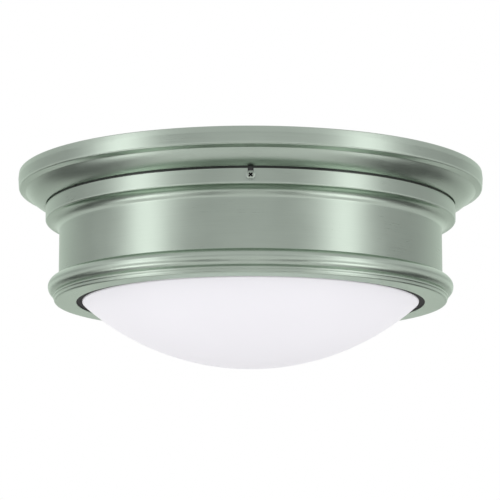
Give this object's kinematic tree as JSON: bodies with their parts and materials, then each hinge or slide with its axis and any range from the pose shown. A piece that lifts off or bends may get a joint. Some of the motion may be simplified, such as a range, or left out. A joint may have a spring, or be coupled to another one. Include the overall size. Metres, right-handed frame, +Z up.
{
  "type": "flush mount ceiling light",
  "caption": "Flush ceiling light: a moulded brushed nickel trim pan and drum with an opal glass bowl, screw-in lamps on porcelain holders, and a crossbar for the ceiling box.",
  "frame": {"origin": "centre of the crossbar's upper face, in the plane of the ceiling", "axes": "+Z up into the ceiling, the light hangs towards -Z; -Y towards the viewer of the picture, with one side screw at -Y; +X to the viewer's right"},
  "size_m": [0.4, 0.4, 0.165],
  "materials": {
    "nickel": "brushed nickel plate, satin",
    "white_paint": "white reflector paint, semi-gloss",
    "zinc_steel": "bright zinc plate",
    "aluminium_rivet": "plain aluminium, satin",
    "brass": "plain brass, satin",
    "green_steel": "green dyed zinc, gloss",
    "lamp_contact": "soft solder, satin",
    "lamp_cap": "bright aluminium",
    "lamp_glass": "soft white coated glass, satin",
    "frosted_glass": "opal white glass, satin etched",
    "porcelain": "white glaze, gloss",
    "silicone": "black silicone, matt",
    "mineral_fibre": "yellow mineral fibre, rough",
    "black_nylon": "moulded nylon, matt",
    "white_nylon": "moulded nylon, matt",
    "black_insulation": "wire insulation, satin",
    "white_insulation": "wire insulation, satin",
    "green_insulation": "wire insulation, satin"
  },
  "bodies": {
    "root": {"trim_ring": "nickel", "back_pan": "white_paint", "pan_rivets": "aluminium_rivet", "insulation_pad": "mineral_fibre", "mounting_crossbar": "zinc_steel", "mounting_studs": "zinc_steel", "supply_bushing": "black_nylon", "side_weld_nuts": "zinc_steel", "holder_bracket_1": "zinc_steel", "holder_bracket_2": "zinc_steel", "holder_bracket_3": "zinc_steel", "bracket_rivets": "aluminium_rivet", "holder_body_1": "porcelain", "holder_body_2": "porcelain", "holder_body_3": "porcelain", "holder_screws": "zinc_steel", "screw_shell_1": "brass", "screw_shell_2": "brass", "screw_shell_3": "brass", "centre_contact_1": "brass", "centre_contact_2": "brass", "centre_contact_3": "brass", "terminal_block": "white_nylon", "terminal_screws": "brass", "block_screws": "zinc_steel", "earth_screw": "green_steel", "earth_eyelet": "brass", "earth_lead": "green_insulation", "lead_clips": "zinc_steel", "black_lead_1": "black_insulation", "black_lead_2": "black_insulation", "black_lead_3": "black_insulation", "white_lead_1": "white_insulation", "white_lead_2": "white_insulation", "white_lead_3": "white_insulation"},
    "shade": {"drum_ring": "nickel", "glass_gasket": "silicone"},
    "glass": {"glass_dome": "frosted_glass"},
    "side_washer_1": {"side_washer_1": "zinc_steel"},
    "side_screw_1": {"side_screw_1": "nickel"},
    "side_washer_2": {"side_washer_2": "zinc_steel"},
    "side_screw_2": {"side_screw_2": "nickel"},
    "side_washer_3": {"side_washer_3": "zinc_steel"},
    "side_screw_3": {"side_screw_3": "nickel"},
    "bulb_tip_1": {"bulb_tip_1": "lamp_contact"},
    "bulb_1": {"bulb_base_1": "lamp_cap", "bulb_globe_1": "lamp_glass"},
    "bulb_tip_2": {"bulb_tip_2": "lamp_contact"},
    "bulb_2": {"bulb_base_2": "lamp_cap", "bulb_globe_2": "lamp_glass"},
    "bulb_tip_3": {"bulb_tip_3": "lamp_contact"},
    "bulb_3": {"bulb_base_3": "lamp_cap", "bulb_globe_3": "lamp_glass"},
    "stud_washer_1": {"stud_washer_1": "zinc_steel"},
    "mounting_nut_1": {"mounting_nut_1": "zinc_steel"},
    "stud_washer_2": {"stud_washer_2": "zinc_steel"},
    "mounting_nut_2": {"mounting_nut_2": "zinc_steel"}
  },
  "joints": [
    {"name": "shade_drop", "type": "slide", "parent": "root", "child": "shade", "axis": [0, 0, -1], "range_m": [0, 0.13]},
    {"name": "glass_lift", "type": "slide", "parent": "shade", "child": "glass", "axis": [0, 0, 1], "range_m": [0, 0.018]},
    {"name": "side_screw_1_travel", "type": "slide", "parent": "root", "child": "side_washer_1", "axis": [0, -1, 0], "range_m": [0, 0.011]},
    {"name": "side_screw_1_turn", "type": "hinge", "parent": "side_washer_1", "child": "side_screw_1", "pos_m": [0, -0.1772, -0.0347], "axis": [0, -1, 0], "range_deg": [0, 5658]},
    {"name": "side_screw_2_travel", "type": "slide", "parent": "root", "child": "side_washer_2", "axis": [0.866, 0.5, 0], "range_m": [0, 0.011]},
    {"name": "side_screw_2_turn", "type": "hinge", "parent": "side_washer_2", "child": "side_screw_2", "pos_m": [0.15346, 0.0886, -0.0347], "axis": [0.866, 0.5, 0], "range_deg": [0, 5658]},
    {"name": "side_screw_3_travel", "type": "slide", "parent": "root", "child": "side_washer_3", "axis": [-0.866, 0.5, 0], "range_m": [0, 0.011]},
    {"name": "side_screw_3_turn", "type": "hinge", "parent": "side_washer_3", "child": "side_screw_3", "pos_m": [-0.15346, 0.0886, -0.0347], "axis": [-0.866, 0.5, 0], "range_deg": [0, 5658]},
    {"name": "bulb_1_travel", "type": "slide", "parent": "root", "child": "bulb_tip_1", "axis": [0, -1, 0], "range_m": [0, 0.02]},
    {"name": "bulb_1_turn", "type": "hinge", "parent": "bulb_tip_1", "child": "bulb_1", "pos_m": [0, 0.149, -0.054], "axis": [0, -1, 0], "range_deg": [0, 1984]},
    {"name": "bulb_2_travel", "type": "slide", "parent": "root", "child": "bulb_tip_2", "axis": [0.866, 0.5, 0], "range_m": [0, 0.02]},
    {"name": "bulb_2_turn", "type": "hinge", "parent": "bulb_tip_2", "child": "bulb_2", "pos_m": [-0.12904, -0.0745, -0.054], "axis": [0.866, 0.5, 0], "range_deg": [0, 1984]},
    {"name": "bulb_3_travel", "type": "slide", "parent": "root", "child": "bulb_tip_3", "axis": [-0.866, 0.5, 0], "range_m": [0, 0.02]},
    {"name": "bulb_3_turn", "type": "hinge", "parent": "bulb_tip_3", "child": "bulb_3", "pos_m": [0.12904, -0.0745, -0.054], "axis": [-0.866, 0.5, 0], "range_deg": [0, 1984]},
    {"name": "mounting_nut_1_travel", "type": "slide", "parent": "root", "child": "stud_washer_1", "axis": [0, 0, -1], "range_m": [0, 0.009]},
    {"name": "mounting_nut_1_turn", "type": "hinge", "parent": "stud_washer_1", "child": "mounting_nut_1", "pos_m": [0.0254, 0, -0.0162], "axis": [0, 0, -1], "range_deg": [0, 4629]},
    {"name": "mounting_nut_2_travel", "type": "slide", "parent": "root", "child": "stud_washer_2", "axis": [0, 0, -1], "range_m": [0, 0.009]},
    {"name": "mounting_nut_2_turn", "type": "hinge", "parent": "stud_washer_2", "child": "mounting_nut_2", "pos_m": [-0.0254, 0, -0.0162], "axis": [0, 0, -1], "range_deg": [0, 4629]}
  ],
  "couplings": [
    {"joint": "side_screw_1_turn", "follows": "side_screw_1_travel", "rad_per_m": 8976},
    {"joint": "side_screw_2_turn", "follows": "side_screw_2_travel", "rad_per_m": 8976},
    {"joint": "side_screw_3_turn", "follows": "side_screw_3_travel", "rad_per_m": 8976},
    {"joint": "bulb_1_turn", "follows": "bulb_1_travel", "rad_per_m": 1730.9},
    {"joint": "bulb_2_turn", "follows": "bulb_2_travel", "rad_per_m": 1730.9},
    {"joint": "bulb_3_turn", "follows": "bulb_3_travel", "rad_per_m": 1730.9},
    {"joint": "mounting_nut_1_turn", "follows": "mounting_nut_1_travel", "rad_per_m": 8976},
    {"joint": "mounting_nut_2_turn", "follows": "mounting_nut_2_travel", "rad_per_m": 8976}
  ]
}
